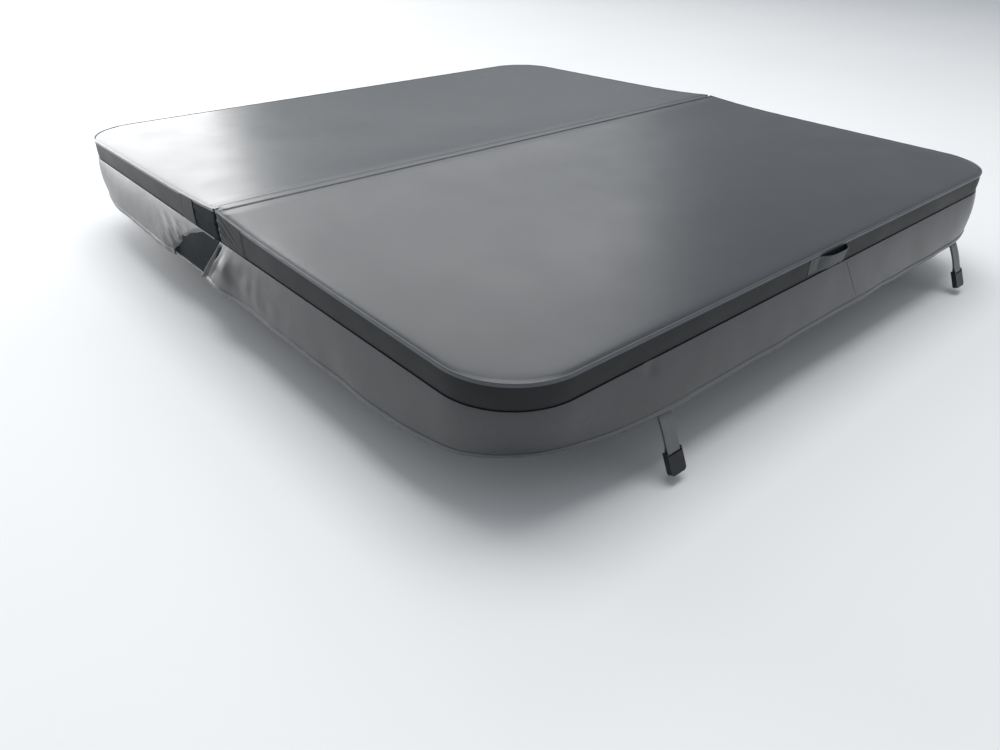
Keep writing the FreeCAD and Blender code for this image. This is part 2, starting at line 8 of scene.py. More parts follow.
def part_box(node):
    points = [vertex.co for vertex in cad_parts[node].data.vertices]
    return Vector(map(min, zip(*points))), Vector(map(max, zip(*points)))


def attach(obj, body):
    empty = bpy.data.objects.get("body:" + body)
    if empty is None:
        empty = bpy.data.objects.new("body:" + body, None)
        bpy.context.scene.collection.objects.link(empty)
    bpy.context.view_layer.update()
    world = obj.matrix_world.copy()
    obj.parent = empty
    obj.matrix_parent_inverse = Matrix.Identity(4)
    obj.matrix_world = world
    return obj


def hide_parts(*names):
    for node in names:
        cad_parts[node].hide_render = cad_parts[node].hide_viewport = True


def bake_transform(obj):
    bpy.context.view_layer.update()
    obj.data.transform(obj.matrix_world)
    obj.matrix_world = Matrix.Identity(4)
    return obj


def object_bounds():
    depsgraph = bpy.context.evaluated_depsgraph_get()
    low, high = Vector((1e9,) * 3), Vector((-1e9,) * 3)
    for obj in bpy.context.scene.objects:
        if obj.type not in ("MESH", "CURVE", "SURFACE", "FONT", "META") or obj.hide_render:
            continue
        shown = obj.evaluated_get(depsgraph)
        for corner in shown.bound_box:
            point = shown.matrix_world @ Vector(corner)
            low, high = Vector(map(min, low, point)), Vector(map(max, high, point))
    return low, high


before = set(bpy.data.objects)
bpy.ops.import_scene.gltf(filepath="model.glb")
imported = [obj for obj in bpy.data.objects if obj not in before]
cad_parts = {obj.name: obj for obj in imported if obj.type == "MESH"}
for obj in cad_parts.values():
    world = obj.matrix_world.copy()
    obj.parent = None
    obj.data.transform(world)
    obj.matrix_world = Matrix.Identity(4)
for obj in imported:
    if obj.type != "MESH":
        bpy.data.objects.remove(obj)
CAD_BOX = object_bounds()

# Bi-fold spa cover.  Metres, in the row frame: the fold line runs along Y, +X is the front
# half, and z = 0 is the underside.  "Station" is a distance from the fold line, "spread" a
# distance outside the nominal plan outline, and "run" a distance along that outline from the
# middle of the outer edge, negative towards -Y.

MM = 0.001
HALVES = {"front": 1, "rear": -1}
ENDS = {"left": -1, "right": 1}

# ---------------------------------------------------------------- sizes

PIPING_PROUD = 2 * MM
EDGE_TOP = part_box("front_piping")[1]
HALF_LENGTH = EDGE_TOP.x - PIPING_PROUD
HALF_WIDTH = EDGE_TOP.y - PIPING_PROUD
CORNER = 165 * MM
EDGE_HEIGHT = 54 * MM
KNEE_HEIGHT = 66 * MM
KNEE_STATION = 160 * MM
FOLD_HEIGHT = 80 * MM
KNEE_SOFTNESS = 9 * MM

HALF_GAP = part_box("front_fold_wall")[0].x
WRAP_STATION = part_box("front_fold_wall")[1].x
PANEL_SPREAD = -3.3 * MM
PATCH_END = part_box("front_end_patches")[1].x
REAR_PATCH_END = 221 * MM
RECESS_END = 139 * MM
HEM_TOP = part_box("front_skirt_hem")[1].z
HEM_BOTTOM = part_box("front_skirt_hem")[0].z
REAR_HEM_START = -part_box("rear_skirt_hem")[1].x
SKIRT_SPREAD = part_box("front_skirt")[1].x - HALF_LENGTH
VINYL = 1.3 * MM

STRAP_TILT = math.radians(24)
STRAP_PLACES = {"left": -590 * MM, "right": 760 * MM}
STRAP_WIDTH = 38 * MM
BAR_DROP = 82 * MM
PIVOT = Vector((1083.7 * MM, 0, -130.5 * MM))


# ---------------------------------------------------------------- small mathematics

def fade(value, start, end):
    """0 before start, 1 after end, smooth between them."""
    share = np.clip((value - start) / (end - start), 0, 1)
    return share * share * (3 - 2 * share)


def hill(value, centre, reach):
    """A smooth hill of height 1 about its centre."""
    return np.exp(-(((value - centre) / reach) ** 2))


def grid_of(*coordinates):
    """Points with these coordinates, which are broadcast against each other."""
    return np.stack(np.broadcast_arrays(*coordinates), -1)


def swell(x, y, size, seed=0.0):
    """Smooth noise of about -1 to 1 with features of a given size."""
    flat = grid_of(x, y).reshape(-1, 2) / size
    found = [noise.noise(Vector((*place, seed)), noise_basis="PERLIN_NEW") for place in flat.tolist()]
    return np.array(found).reshape(np.broadcast(x, y).shape)


def roof(station):
    """Height of the nominal top: a ridge at the fold, then a slow fall to the edge."""
    station = np.abs(station)
    ridge = FOLD_HEIGHT - (FOLD_HEIGHT - KNEE_HEIGHT) * station / KNEE_STATION
    beyond = (station - KNEE_STATION) / (HALF_LENGTH - KNEE_STATION)
    slope = KNEE_HEIGHT - (KNEE_HEIGHT - EDGE_HEIGHT) * beyond
    return (ridge + slope + np.sqrt((ridge - slope) ** 2 + KNEE_SOFTNESS**2)) / 2


# ---------------------------------------------------------------- meshes

def quads(rows, columns, first=0, flip=False):
    """Faces of a grid of points stored row by row."""
    index = np.arange(rows * columns).reshape(rows, columns) + first
    corners = [index[:-1, :-1], index[1:, :-1], index[1:, 1:], index[:-1, 1:]]
    faces = np.stack(corners, -1).reshape(-1, 4)
    return faces[:, ::-1] if flip else faces


def piece(name, points, faces, material, sharp_degrees=40):
    """A Blender object made of points and faces."""
    mesh = bpy.data.meshes.new(name)
    mesh.from_pydata(np.asarray(points).reshape(-1, 3).tolist(), [], faces)
    mesh.validate()
    mesh.materials.append(material)
    mesh.shade_smooth()
    mesh.set_sharp_from_angle(angle=math.radians(sharp_degrees))
    made = bpy.data.objects.new(name, mesh)
    bpy.context.scene.collection.objects.link(made)
    return made


def grid_normals(grid):
    """Unit normals of a grid of points."""
    normals = np.cross(np.gradient(grid, axis=0), np.gradient(grid, axis=1))
    return normals / np.maximum(np.linalg.norm(normals, axis=-1, keepdims=True), 1e-12)


def shell_parts(grid, thickness, flip=False):
    """A sheet with two faces and a rim: the grid is its outer face."""
    rows, columns = grid.shape[:2]
    sign = -1 if flip else 1
    inner = grid - grid_normals(grid) * (thickness * sign)
    points = np.concatenate([grid.reshape(-1, 3), inner.reshape(-1, 3)])
    count = rows * columns
    index = np.arange(count).reshape(rows, columns)
    borders = [index[0], index[:, -1], index[-1][::-1], index[:, 0][::-1]]
    loop = np.concatenate([border[:-1] for border in borders])
    ahead = np.roll(loop, -1)
    rim = np.stack([ahead, loop, loop + count, ahead + count], -1)
    rim = rim if flip else rim[:, ::-1]
    faces = [quads(rows, columns, 0, flip), quads(rows, columns, count, not flip), rim]
    return points, np.concatenate(faces).tolist()


def shell(name, grid, thickness, material, flip=False):
    points, faces = shell_parts(grid, thickness, flip)
    return piece(name, points, faces, material)


def joined(name, parts, material, sharp_degrees=40):
    """One object made of several (points, faces) parts."""
    points, faces, first = [], [], 0
    for part_points, part_faces in parts:
        part_points = np.asarray(part_points).reshape(-1, 3)
        points.append(part_points)
        faces.extend([[corner + first for corner in face] for face in part_faces])
        first += len(part_points)
    return piece(name, np.concatenate(points), faces, material, sharp_degrees)


def tube_parts(loops, flip=False):
    """A closed tube through loops of points, with flat ends."""
    rows, columns = loops.shape[:2]
    index = np.arange(rows * columns).reshape(rows, columns)
    beside = np.roll(index, -1, axis=1)
    sides = np.stack([index[:-1], beside[:-1], beside[1:], index[1:]], -1).reshape(-1, 4)
    faces = sides.tolist() + [index[0][::-1].tolist(), index[-1].tolist()]
    if flip:
        faces = [face[::-1] for face in faces]
    return loops.reshape(-1, 3), faces


def resampled(line, pitch):
    """Points evenly spaced along a polyline, and the directions there."""
    steps = np.linalg.norm(np.diff(line, axis=0), axis=1)
    along = np.concatenate([[0], np.cumsum(steps)])

    def at(places):
        return np.stack([np.interp(places, along, line[:, k]) for k in range(3)], -1)

    places = np.arange(pitch / 2, along[-1], pitch)
    way = at(places + pitch / 9) - at(places - pitch / 9)
    return at(places), way / np.linalg.norm(way, axis=1, keepdims=True)


STITCH_PITCH = 6.5 * MM
STITCH_LENGTH = 4.6 * MM
STITCH_RADIUS = 0.55 * MM


def stitch_parts(line, outward):
    """Stitches along a line: each is a short spindle lying on the cloth."""
    points, way = resampled(np.asarray(line, float), STITCH_PITCH)
    outward = np.broadcast_to(np.asarray(outward, float), points.shape)
    across = np.cross(way, outward)
    across /= np.linalg.norm(across, axis=1, keepdims=True)
    up = np.cross(across, way)
    half = STITCH_LENGTH / 2
    shoulder = half * 0.6
    corners = [points - way * half]
    for place in (-shoulder, shoulder):
        for u, v in ((1, 0), (0, 1), (-1, 0), (0, -1)):
            corners.append(points + way * place + (across * u + up * v) * STITCH_RADIUS)
    corners.append(points + way * half)
    vertices = np.stack(corners, 1)
    one = []
    for k in range(4):
        beside = (k + 1) % 4
        one.append([0, 1 + beside, 1 + k])
        one.append([1 + k, 1 + beside, 5 + beside, 5 + k])
        one.append([9, 5 + k, 5 + beside])
    faces = []
    for n in range(len(points)):
        faces.extend([[corner + 10 * n for corner in face] for face in one])
    return vertices.reshape(-1, 3), faces


# ---------------------------------------------------------------- the outline of a half

class Outline:
    """Samples round a half's plan from the fold's -Y end to its +Y end, as if it were the
    front half: points, outward directions and runs."""

    def __init__(self, start, fine=4 * MM, coarse=11 * MM, fine_until=0.40):
        straight = HALF_LENGTH - CORNER
        steps = round((straight - fine_until) / coarse) + 1
        leg = np.append(
            np.linspace(start, fine_until, round((fine_until - start) / fine) + 1)[:-1],
            np.linspace(fine_until, straight, steps),
        )
        turn = np.radians(np.linspace(-90, 0, 33))[1:-1]
        reach = HALF_WIDTH - CORNER
        side = np.linspace(-reach, reach, round(2 * reach / coarse) + 1)
        zero, one = np.zeros_like, np.ones_like
        x = [leg, straight + CORNER * np.cos(turn), one(side) * HALF_LENGTH]
        y = [one(leg) * -HALF_WIDTH, -reach + CORNER * np.sin(turn), side]
        out_x = [zero(leg), np.cos(turn), one(side)]
        out_y = [-one(leg), np.sin(turn), zero(side)]
        for values, sign in ((x, 1), (y, -1), (out_x, 1), (out_y, -1)):
            values.append(values[1][::-1] * sign)
            values.append(values[0][::-1] * sign)
        self.x = np.concatenate(x)
        self.y = np.concatenate(y)
        self.out_x = np.concatenate(out_x)
        self.out_y = np.concatenate(out_y)
        steps = np.hypot(np.diff(self.x), np.diff(self.y))
        along = np.concatenate([[0], np.cumsum(steps)])
        self.run = along - along[-1] / 2
        self.length = along[-1]

    def swept(self, side, spread, height, shift=0.0):
        """Grid of points, one row for each sample: spread and height have a column each."""
        x = self.x[:, None] + self.out_x[:, None] * spread + shift
        y = self.y[:, None] + self.out_y[:, None] * spread
        return grid_of(x * side, y, height)

    def outward(self, side):
        """Outward directions in space."""
        return np.stack([self.out_x * side, self.out_y, np.zeros_like(self.run)], -1)


# ---------------------------------------------------------------- materials

def node(tree, kind, **settings):
    made = tree.nodes.new(kind)
    for name, value in settings.items():
        if name in made.inputs:
            made.inputs[name].default_value = value
        else:
            setattr(made, name, value)
    return made


class Finish:
    """A Principled material whose colour, roughness and bump come from nodes."""

    def __init__(self, name, **sockets):
        self.material = bpy.data.materials.new(name)
        self.material.use_nodes = True
        self.tree = self.material.node_tree
        self.shader = self.tree.nodes["Principled BSDF"]
        for socket, value in sockets.items():
            self.shader.inputs[socket.replace("_", " ")].default_value = value
        self.place = node(self.tree, "ShaderNodeTexCoord").outputs["Object"]

    def link(self, output, socket):
        self.tree.links.new(output, socket)

    def noise(self, scale, detail=2.0, roughness=0.5, place=None):
        made = node(
            self.tree, "ShaderNodeTexNoise", Scale=scale, Detail=detail, Roughness=roughness
        )
        self.link(place or self.place, made.inputs["Vector"])
        return made.outputs["Fac"]

    def ramp(self, factor, low, high, start=0.3, end=0.7):
        made = node(self.tree, "ShaderNodeValToRGB")
        first, last = made.color_ramp.elements
        first.position, first.color = start, (*low, 1)
        last.position, last.color = end, (*high, 1)
        self.link(factor, made.inputs["Fac"])
        return made.outputs["Color"]

    def range(self, factor, low, high, start=0.3, end=0.7):
        made = node(self.tree, "ShaderNodeMapRange")
        made.inputs["From Min"].default_value = start
        made.inputs["From Max"].default_value = end
        made.inputs["To Min"].default_value = low
        made.inputs["To Max"].default_value = high
        self.link(factor, made.inputs["Value"])
        return made.outputs["Result"]

    def colour(self, output):
        self.link(output, self.shader.inputs["Base Color"])

    def roughness(self, output):
        self.link(output, self.shader.inputs["Roughness"])

    def bump(self, *layers):
        """Layers are (height output, strength, distance)."""
        below = None
        for height, strength, distance in layers:
            made = node(self.tree, "ShaderNodeBump", Strength=strength, Distance=distance)
            self.link(height, made.inputs["Height"])
            if below:
                self.link(below, made.inputs["Normal"])
            below = made.outputs["Normal"]
        self.link(below, self.shader.inputs["Normal"])


def vinyl(name, colour, roughness=0.4, specular=0.5, grain=0.25, mottle=0.06, wrinkle=0.08):
    """Marine vinyl: fine leather grain, faint mottling and a satin gloss."""
    made = Finish(name, Specular_IOR_Level=specular)
    dark = [channel * (1 - mottle) for channel in colour]
    light = [channel * (1 + mottle) for channel in colour]
    made.colour(made.ramp(made.noise(5.0, 4.0, 0.6), dark, light))
    made.roughness(made.range(made.noise(6.0, 2.0, 0.5), roughness * 0.92, roughness * 1.10))
    cells = node(made.tree, "ShaderNodeTexVoronoi", Scale=620.0)
    made.link(made.place, cells.inputs["Vector"])
    layers = [
        (cells.outputs["Distance"], grain, 0.25 * MM),
        (made.noise(1400.0, 2.0, 0.5), grain * 0.5, 0.12 * MM),
    ]
    if wrinkle:
        layers.insert(0, (made.noise(13.0, 1.0, 0.4), wrinkle, 3 * MM))
    made.bump(*layers)
    return made.material


def webbing(name, colour):
    """Flat woven strap: fine ribs across it and two darker stripes along it."""
    made = Finish(name, Roughness=0.75, Specular_IOR_Level=0.35, Sheen_Weight=0.25)
    ribs = node(made.tree, "ShaderNodeTexWave", Scale=190.0, Distortion=0.4)
    ribs.bands_direction = "Z"
    made.link(made.place, ribs.inputs["Vector"])
    threads = node(made.tree, "ShaderNodeTexWave", Scale=210.0, Distortion=0.3)
    threads.bands_direction = "Y"
    made.link(made.place, threads.inputs["Vector"])
    dark = [channel * 0.72 for channel in colour]
    made.colour(made.ramp(threads.outputs["Fac"], dark, colour, 0.1, 0.8))
    made.bump((ribs.outputs["Fac"], 0.5, 0.35 * MM), (threads.outputs["Fac"], 0.4, 0.3 * MM))
    return made.material


def plain(name, colour, roughness, speckle=0.08, grain_scale=300.0, grain=0.1, **sockets):
    """Plastic, metal, foam or thread, with slight mottling and a fine surface."""
    made = Finish(name, **sockets)
    dark = [channel * (1 - speckle) for channel in colour]
    light = [channel * (1 + speckle) for channel in colour]
    made.colour(made.ramp(made.noise(60.0, 3.0), dark, light))
    made.roughness(made.range(made.noise(90.0, 3.0), roughness * 0.85, roughness * 1.15))
    made.bump((made.noise(grain_scale, 3.0, 0.6), grain, 0.2 * MM))
    return made.material


TOP = vinyl("top_vinyl", (0.034, 0.037, 0.041), 0.30, 0.5)
BAND = vinyl("band_vinyl", (0.024, 0.0245, 0.026), 0.46, 0.13)
PIPING = vinyl("piping_vinyl", (0.055, 0.062, 0.070), 0.34, 0.6, grain=0.1)
SKIRT = vinyl("skirt_vinyl", (0.018, 0.020, 0.024), 0.28, 0.75, grain=0.10, wrinkle=0)
HEM = vinyl("hem_vinyl", (0.040, 0.044, 0.050), 0.34, 0.9, grain=0.1, wrinkle=0)
# Near-black, nearly glossless vinyl: painted shade on the tucked-in tongues and the rear recesses.
PAINTED_SHADE_VINYL = vinyl("tongue_vinyl", (0.008, 0.012, 0.016), 0.52, 0.04, wrinkle=0)
UNDER = vinyl("underside_vinyl", (0.026, 0.028, 0.030), 0.55, 0.3)
HANDLE = vinyl("handle_vinyl", (0.042, 0.045, 0.050), 0.42, 0.4)
THREAD = plain("stitch_thread", (0.030, 0.033, 0.037), 0.6, Sheen_Weight=0.2)
LIGHT_THREAD = plain("light_thread", (0.16, 0.175, 0.19), 0.6, Sheen_Weight=0.2)
WEBBING = webbing("strap_webbing", (0.135, 0.138, 0.145))
PLASTIC = plain("buckle_plastic", (0.010, 0.010, 0.012), 0.36, Specular_IOR_Level=0.3)
STEEL = plain("galvanised_steel", (0.55, 0.57, 0.60), 0.42, 0.15, Metallic=1.0)
BRASS = plain("eyelet_brass", (0.62, 0.52, 0.32), 0.3, 0.1, Metallic=1.0)
ZIPPER_METAL = plain("zipper_metal", (0.18, 0.18, 0.19), 0.35, 0.1, Metallic=1.0)
ZIPPER = plain("zipper_nylon", (0.020, 0.021, 0.023), 0.7, Sheen_Weight=0.2)
FOAM = plain("foam", (0.80, 0.80, 0.76), 0.85, 0.04, grain_scale=220.0, grain=0.5)
FILM = plain("film", (0.020, 0.021, 0.022), 0.3, 0.05, grain_scale=40.0, grain=0.3)

CAD_FINISHES = {
    "foam_core": FOAM,
    "vapour_barrier": FILM,
    "stiffener_channel": STEEL,
    "drain_eyelets": BRASS,
    "zipper_slider": ZIPPER_METAL,
    "zipper_pull": ZIPPER_METAL,
    "buckle_left": PLASTIC,
    "buckle_right": PLASTIC,
}


def finish_cad_nodes():
    """Gives every carried-over CAD node its material, and softens moulded edges."""
    for half in HALVES:
        for part, material in CAD_FINISHES.items():
            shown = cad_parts[f"{half}_{part}"]
            shown.data.materials.clear()
            shown.data.materials.append(material)
            if "buckle" in part:
                weld = shown.modifiers.new("weld", "WELD")
                weld.merge_threshold = 0.01 * MM
                bevel = shown.modifiers.new("bevel", "BEVEL")
                bevel.width = 0.7 * MM
                bevel.segments = 3
                bevel.limit_method = "ANGLE"
                bevel.angle_limit = math.radians(35)


def finished(made, body, slot_name, *nodes):
    """Sets what a piece rides on and stands for; slot_name is not used."""
    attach(made, body)
    if nodes:
        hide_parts(*nodes)


def sew(name, rows, body):
    """Rows of stitches in light thread that ride on a body."""
    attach(joined(name, rows, LIGHT_THREAD), body)


# ---------------------------------------------------------------- top and underside panels

GRID_STEP = 16 * MM
BORDER = 32 * MM
RING_INSETS = np.array([20, 12, 8, 5, 3, 1.5, 0.5, 0]) * MM
CROWN = 2.2 * MM
DRAIN_RADIUS = 5.5 * MM
EYELET_RADIUS = 9 * MM


def plan_rows(inset, start):
    """Rows across a half: their y, and the x where each one reaches the inset outline."""
    radius = CORNER - inset
    reach = HALF_WIDTH - CORNER
    turn = np.radians(np.linspace(-90, 0, 19))
    side = np.linspace(-reach, reach, round(2 * reach / GRID_STEP) + 1)[1:-1]
    y = np.concatenate([-reach + radius * np.sin(turn), side, reach + radius * np.sin(-turn[::-1])])
    turned = HALF_LENGTH - CORNER + radius * np.cos(turn)
    x_out = np.concatenate([turned, np.full(len(side), HALF_LENGTH - inset), turned[::-1]])
    out = np.concatenate([turn, np.zeros(len(side)), -turn[::-1]])
    columns = np.append(
        np.linspace(start, start + 60 * MM, 25)[:-1] - start,
        np.linspace(60 * MM, 1.0, round(1.0 / GRID_STEP)),
    )
    share = columns / columns[-1]
    x = start + (x_out[:, None] - start) * share[None, :]
    return x, np.broadcast_to(y[:, None], x.shape), out


def distance_from_edge(x, y):
    """Distance inside the nominal outline, along its straights and round its corners."""
    beyond_x = x - (HALF_LENGTH - CORNER)
    beyond_y = np.abs(y) - (HALF_WIDTH - CORNER)
    in_corner = (beyond_x > 0) & (beyond_y > 0)
    round_edge = CORNER - np.hypot(np.maximum(beyond_x, 0), np.maximum(beyond_y, 0))
    straight_edge = np.minimum(HALF_LENGTH - x, HALF_WIDTH - np.abs(y))
    return np.where(in_corner, round_edge, straight_edge)


def panel_parts(side, start, border_spread, height, thickness, flip):
    """A half's flat panel: a grid of rows, then rings that follow the outline."""
    x, y, out = plan_rows(BORDER, start)
    rows, columns = x.shape
    index = np.arange(rows * columns).reshape(rows, columns)
    rim = np.concatenate([index[0], index[1:-1, -1], index[-1][::-1]])
    angle = np.concatenate(
        [np.full(columns, -math.pi / 2), out[1:-1], np.full(columns, math.pi / 2)]
    )
    width = BORDER + border_spread
    insets = RING_INSETS / BORDER * width
    rings_x = [x.reshape(-1)[rim] + np.cos(angle) * (width - inset) for inset in insets]
    rings_y = [y.reshape(-1)[rim] + np.sin(angle) * (width - inset) for inset in insets]
    flat_x = np.concatenate([x.reshape(-1), *rings_x])
    flat_y = np.concatenate([y.reshape(-1), *rings_y])
    rings = [rim] + [
        rows * columns + ring * len(rim) + np.arange(len(rim)) for ring in range(len(insets))
    ]
    faces = quads(rows, columns).tolist()
    for near, far in zip(rings, rings[1:]):
        faces += np.stack([near[:-1], far[:-1], far[1:], near[1:]], -1).tolist()
    z = height(flat_x, flat_y, distance_from_edge(flat_x, flat_y))
    outer = np.stack([flat_x * side, flat_y, z], -1)
    inner = outer - np.array([0, 0, thickness])
    count = len(outer)
    start_edge = [ring[0] for ring in rings[::-1]]
    end_edge = [ring[-1] for ring in rings]
    loop = np.array(
        list(rings[-1]) + end_edge[::-1][1:-1] + list(index[::-1, 0]) + start_edge[::-1][1:-1]
    )
    ahead = np.roll(loop, -1)
    sides = np.stack([loop, loop + count, ahead + count, ahead], -1).tolist()
    faces = faces + [[c + count for c in face[::-1]] for face in faces] + sides
    if flip:
        faces = [face[::-1] for face in faces]
    return np.concatenate([outer, inner]), faces


SEAM_STATION = 18.5 * MM


def top_height(x, y, from_edge):
    """Surface of a top panel: pulled down at its seams, softly uneven between them."""
    from_fold = np.abs(x)
    rise = CROWN * (1 - np.exp(-np.maximum(from_edge + PANEL_SPREAD, 0) / (9 * MM)))
    rise = rise * fade(from_fold, 4 * MM, 60 * MM) - 1.0 * MM * hill(from_edge, 2 * MM, 6 * MM)
    pucker = np.sin(x * 170) * np.sin(y * 170) * hill(from_edge, 10 * MM, 9 * MM) * 0.25 * MM
    uneven = swell(x, y, 0.42, 3.1) * 0.8 * MM + swell(x, y, 0.15, 7.7) * 0.22 * MM
    settle = fade(from_edge, 5 * MM, 90 * MM) * fade(from_fold, 20 * MM, 90 * MM)
    seam = hill(from_fold, SEAM_STATION + 0.8 * MM, 1.6 * MM) * (0.75 - 0.25 * np.sign(x)) * MM
    return roof(from_fold) + rise + pucker + uneven * settle * 0.9 - seam


def make_top_panel(half, side):
    parts = panel_parts(side, HALF_GAP, PANEL_SPREAD, top_height, VINYL, side < 0)
    made = piece(f"{half}_top_cloth", *parts, TOP)
    finished(made, f"{half}_half", "top_vinyl", f"{half}_top_panel")


def under_height(x, y, from_edge):
    """Surface of an underside panel: welded flat at its rim, softly slack inside it."""
    slack = fade(from_edge, 12 * MM, 90 * MM) * fade(np.abs(x), 80 * MM, 160 * MM)
    uneven = swell(x, y, 0.30, 5.5) * 1.2 + swell(x, y, 0.11, 1.5) * 0.5
    weld = hill(from_edge, 22 * MM, 1.6 * MM) * 0.5 * MM
    return -(uneven * 0.5 - 0.4) * MM * slack * 0.9 + weld


def make_under_panel(half, side):
    start = WRAP_STATION + 30 * MM
    parts = panel_parts(side, start, -1.8 * MM, under_height, -VINYL, side > 0)
    made = piece(f"{half}_under_cloth", *parts, UNDER)
    drill_drains(made, side)
    finished(made, f"{half}_half", "underside_vinyl", f"{half}_bottom_panel")


def drill_drains(panel, side):
    """Cuts the four drain holes inside the eyelets."""
    low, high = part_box("front_drain_eyelets")
    rings = []
    turn = np.radians(np.arange(0, 360, 15))
    for x in (low.x + EYELET_RADIUS, high.x - EYELET_RADIUS):
        for y in (low.y + EYELET_RADIUS, high.y - EYELET_RADIUS):
            levels = np.array([-20 * MM, 20 * MM])[:, None]
            ring_x = x * side + DRAIN_RADIUS * np.cos(turn) * np.ones_like(levels)
            ring_y = y + DRAIN_RADIUS * np.sin(turn) * np.ones_like(levels)
            loops = np.stack([ring_x, ring_y, levels * np.ones_like(ring_x)], -1)
            rings.append(tube_parts(loops))
    cutter = joined("drain_cutter", rings, UNDER)
    hole = panel.modifiers.new("drains", "BOOLEAN")
    hole.operation = "DIFFERENCE"
    hole.object = cutter
    hole.solver = "EXACT"
    graph = bpy.context.evaluated_depsgraph_get()
    cut = bpy.data.meshes.new_from_object(panel.evaluated_get(graph))
    panel.modifiers.clear()
    panel.data = cut
    bpy.data.objects.remove(cutter)


# ---------------------------------------------------------------- band, piping and patches

BAND_START = {"front": PATCH_END - 14 * MM, "rear": REAR_PATCH_END - 14 * MM}


def make_side_band(half, side):
    """Upright band round the edge, sewn under the piping."""
    path = Outline(BAND_START[half])
    share = np.linspace(0, 1, 11)[None, :]
    top = roof(path.x)[:, None] - 3.2 * MM
    height = top + (0.4 * MM - top) * share
    puff = np.sin(share * math.pi) ** 0.8 * 1.3 * MM
    soft = np.sin(path.run * 23.0)[:, None] * 0.4 + np.sin(path.run * 51.0 + 1.3)[:, None] * 0.25
    creases = swell(path.run[:, None], height * 3.0, 0.06, 9.0) * 0.35
    spread = -0.6 * MM + puff + (soft + creases) * np.sin(share * math.pi) * MM * 0.8
    grid = path.swept(side, spread, height)
    made = shell(f"{half}_band", grid, 1.2 * MM, BAND, side > 0)
    finished(made, f"{half}_half", "band_vinyl", f"{half}_side_band")


def make_piping(half, side):
    """Welt cord round the top edge, in its folded vinyl."""
    path = Outline(HALF_GAP)
    turn = np.radians(np.linspace(0, 360, 13))[:-1][None, :]
    radius = 2.7 * MM + 0.15 * MM * np.sin(path.run * 90.0)[:, None]
    spread = -0.6 * MM + radius * np.cos(turn)
    height = roof(path.x)[:, None] - 1.3 * MM + radius * np.sin(turn)
    loops = path.swept(side, spread, height)
    cord = tube_parts(loops, side > 0)
    flange_share = np.linspace(0, 1, 4)[None, :]
    flange_spread = 0.9 * MM + 0.3 * MM * flange_share
    flange_height = roof(path.x)[:, None] - (3.6 + 3.6 * flange_share) * MM
    flange = shell_parts(path.swept(side, flange_spread, flange_height), 0.8 * MM, side > 0)
    made = joined(f"{half}_welt", [cord, flange], PIPING)
    finished(made, f"{half}_half", "piping_vinyl", f"{half}_piping")


def patch_creases(half, station, height):
    """How far the folds of a sewn-in corner stand off its surface."""
    if half == "rear":
        fold_line = hill(height, 36 * MM + (station - 50 * MM) * 0.10, 2.6 * MM)
        ridge = hill(height, 43 * MM + (station - 50 * MM) * 0.10, 4.5 * MM)
        lower = hill(height, 17 * MM + station * 0.05, 5 * MM)
        return ridge * 2.0 * MM - fold_line * 0.8 * MM + lower * 0.8 * MM
    near = 1 - fade(station, 60 * MM, 135 * MM)
    slanted = height + (station - 60 * MM) * 0.55
    creases = np.sin(slanted * 300.0) * 0.7 + np.sin(slanted * 520.0 + 1.0) * 0.35
    pinch = hill(height, 40 * MM - (station - 6 * MM) * 0.35, 3.5 * MM)
    pinch = pinch * (1 - fade(station, 40 * MM, 75 * MM))
    return creases * near * 1.4 * MM - pinch * 1.8 * MM


def patch_grid(half, side, end, first, last, base):
    """Wrapped vinyl at one end of the fold, between two stations."""
    station = np.linspace(first, last, 90)[:, None]
    share = np.linspace(0, 1, 30)[None, :]
    top = roof(station) - 2.4 * MM
    height = top + (1.0 * MM - top) * share
    middle = np.sin(share * math.pi)
    lumps = swell(station, height, 18 * MM, 4.0 + side) * 0.5 * MM
    spread = base + (0.9 * MM + lumps) * middle
    if half == "front" or last < RECESS_END + 5 * MM:
        spread = spread + patch_creases(half, station, height) * middle**0.5
    if half == "front":
        spread = spread - 1.4 * MM * fade(station, last - 14 * MM, last)
    at_gap = (1 - fade(station, HALF_GAP, HALF_GAP + 12 * MM)) ** 2
    spread = np.maximum(spread - 2.0 * MM * at_gap, -0.6 * MM)
    y = (HALF_WIDTH + spread) * end
    return grid_of(station * side, y, height)


def make_end_patches(half, side):
    """The rear ones are in two parts: a patch with a stitched edge, and a recess in near-black vinyl,
    which is painted shade.
    """
    edge = HALF_GAP + 0.4 * MM
    if half == "front":
        parts = [("patch", edge, PATCH_END, 1.6 * MM, BAND)]
    else:
        parts = [
            # The recess is near-black vinyl: painted shade.
            ("recess", edge, RECESS_END + 3 * MM, 0.2 * MM, PAINTED_SHADE_VINYL),
            ("patch", RECESS_END, REAR_PATCH_END, 2.4 * MM, BAND),
        ]
    for word, end in ENDS.items():
        for name, first, last, base, material in parts:
            grid = patch_grid(half, side, end, first, last, base)
            made = shell(f"{half}_{name}_{word}", grid, 1.0 * MM, material, side * end < 0)
            finished(made, f"{half}_half", "band_vinyl", f"{half}_end_patches")
        if half == "rear":
            row = grid[-4] + np.array([0, end * 0.2 * MM, 0])
            sew(f"{half}_patch_stitches_{word}", [stitch_parts(row, (0, end, 0))], f"{half}_half")


# ---------------------------------------------------------------- skirt, hem and tongues

SHOULDER = 124 * MM
TRIM_CENTRE = 70 * MM
TRIM_LENGTH = 245 * MM
TRIM_HEIGHT = 126 * MM
FRONT_SKIRT_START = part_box("front_skirt")[0].x
REAR_SKIRT_START = 30 * MM


def lean(height):
    """Spread of the skirt before its folds: it leans out from under the band, then hangs."""
    over = np.clip(1 + height / SHOULDER, 0, 1)
    return 1.5 * MM + (SKIRT_SPREAD - 0.5 * MM) * (1 - over**1.6)


